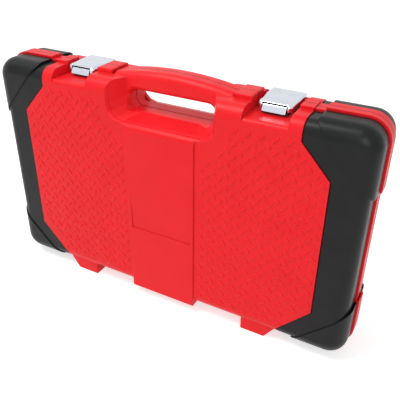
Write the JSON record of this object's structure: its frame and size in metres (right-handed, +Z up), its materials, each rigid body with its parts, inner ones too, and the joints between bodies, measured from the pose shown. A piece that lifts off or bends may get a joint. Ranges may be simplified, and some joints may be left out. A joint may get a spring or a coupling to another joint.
{
  "type": "socket wrench set in case",
  "caption": "Socket wrench set in an upright moulded case with an arched handle, end caps, snap latches and a hinged lid over a foam tool inlay.",
  "frame": {"origin": "on the ground that the feet stand on, under the middle of the parting plane between the two shells", "axes": "+X along the case's length, -Y out of the lid's face (the front), +Z up towards the handle"},
  "size_m": [0.465, 0.081, 0.287],
  "materials": {
    "red_shell": "satin moulded plastic with raised tread bars",
    "black_cap": "satin black moulded plastic",
    "latch_plate": "bright plated sheet steel",
    "plain_steel": "plain zinc plated steel",
    "dark_steel": "black phosphated sheet steel",
    "black_foam": "matt black closed cell foam",
    "grip_plastic": "matt black grip",
    "tool_chrome": "satin chrome plate",
    "tool_steel": "hardened steel"
  },
  "bodies": {
    "base": {"base_shell": "red_shell", "base_end_cap_left": "black_cap", "base_end_cap_right": "black_cap", "hinge_pin_left": "plain_steel", "hinge_pin_right": "plain_steel", "latch_pin_left": "plain_steel", "latch_pin_right": "plain_steel", "latch_bracket_left": "dark_steel", "latch_bracket_right": "dark_steel", "bracket_rivets": "dark_steel", "inlay_floor": "black_foam", "inlay_bars": "black_foam", "inlay_blocks": "black_foam", "ratchet_body": "tool_chrome", "ratchet_grip": "grip_plastic", "ratchet_cover": "tool_chrome", "cover_screws": "tool_steel", "extension_long": "tool_chrome", "extension_short": "tool_chrome", "extension_balls": "tool_steel", "socket_10": "tool_chrome", "socket_11": "tool_chrome", "socket_12": "tool_chrome", "socket_13": "tool_chrome", "socket_14": "tool_chrome", "socket_15": "tool_chrome", "socket_16": "tool_chrome", "socket_17": "tool_chrome", "socket_18": "tool_chrome", "socket_19": "tool_chrome", "socket_20": "tool_chrome", "socket_21": "tool_chrome", "socket_22": "tool_chrome", "socket_24": "tool_chrome", "socket_27": "tool_chrome", "socket_30": "tool_chrome", "socket_32": "tool_chrome", "plug_socket_16": "tool_chrome", "plug_socket_21": "tool_chrome"},
    "lid": {"lid_shell": "red_shell", "lid_end_cap_left": "black_cap", "lid_end_cap_right": "black_cap", "latch_catch_left": "dark_steel", "latch_catch_right": "dark_steel", "catch_rivets": "dark_steel"},
    "latch_lever_left": {"latch_lever_left": "latch_plate"},
    "latch_lever_right": {"latch_lever_right": "latch_plate"},
    "drive": {"drive_gear": "tool_steel", "drive_ball": "tool_steel"},
    "direction_lever": {"direction_lever": "tool_chrome"},
    "pawl": {"pawl": "tool_steel"},
    "release_button": {"release_button": "tool_chrome"}
  },
  "joints": [
    {"name": "lid_hinge", "type": "hinge", "parent": "base", "child": "lid", "pos_m": [0, 0, 0.005], "axis": [1, 0, 0], "range_deg": [0, 105]},
    {"name": "latch_left", "type": "hinge", "parent": "base", "child": "latch_lever_left", "pos_m": [-0.119, 0.021, 0.2745], "axis": [-1, 0, 0], "range_deg": [0, 95]},
    {"name": "latch_right", "type": "hinge", "parent": "base", "child": "latch_lever_right", "pos_m": [0.119, 0.021, 0.2745], "axis": [-1, 0, 0], "range_deg": [0, 95]},
    {"name": "drive_spin", "type": "hinge", "parent": "base", "child": "drive", "pos_m": [-0.176, -0.001, 0.05], "axis": [0, 1, 0], "continuous": true},
    {"name": "direction_turn", "type": "hinge", "parent": "base", "child": "direction_lever", "pos_m": [-0.158, -0.012, 0.05], "axis": [0, 1, 0], "range_deg": [0, 40]},
    {"name": "pawl_rock", "type": "hinge", "parent": "base", "child": "pawl", "pos_m": [-0.158, -0.004, 0.05], "axis": [0, 1, 0], "range_deg": [0, 12]},
    {"name": "button_push", "type": "slide", "parent": "base", "child": "release_button", "axis": [0, 1, 0], "range_m": [0, 0.0024], "stiffness_N_per_m": 800}
  ],
  "couplings": [
    {"joint": "pawl_rock", "follows": "direction_turn", "ratio": 0.3}
  ]
}
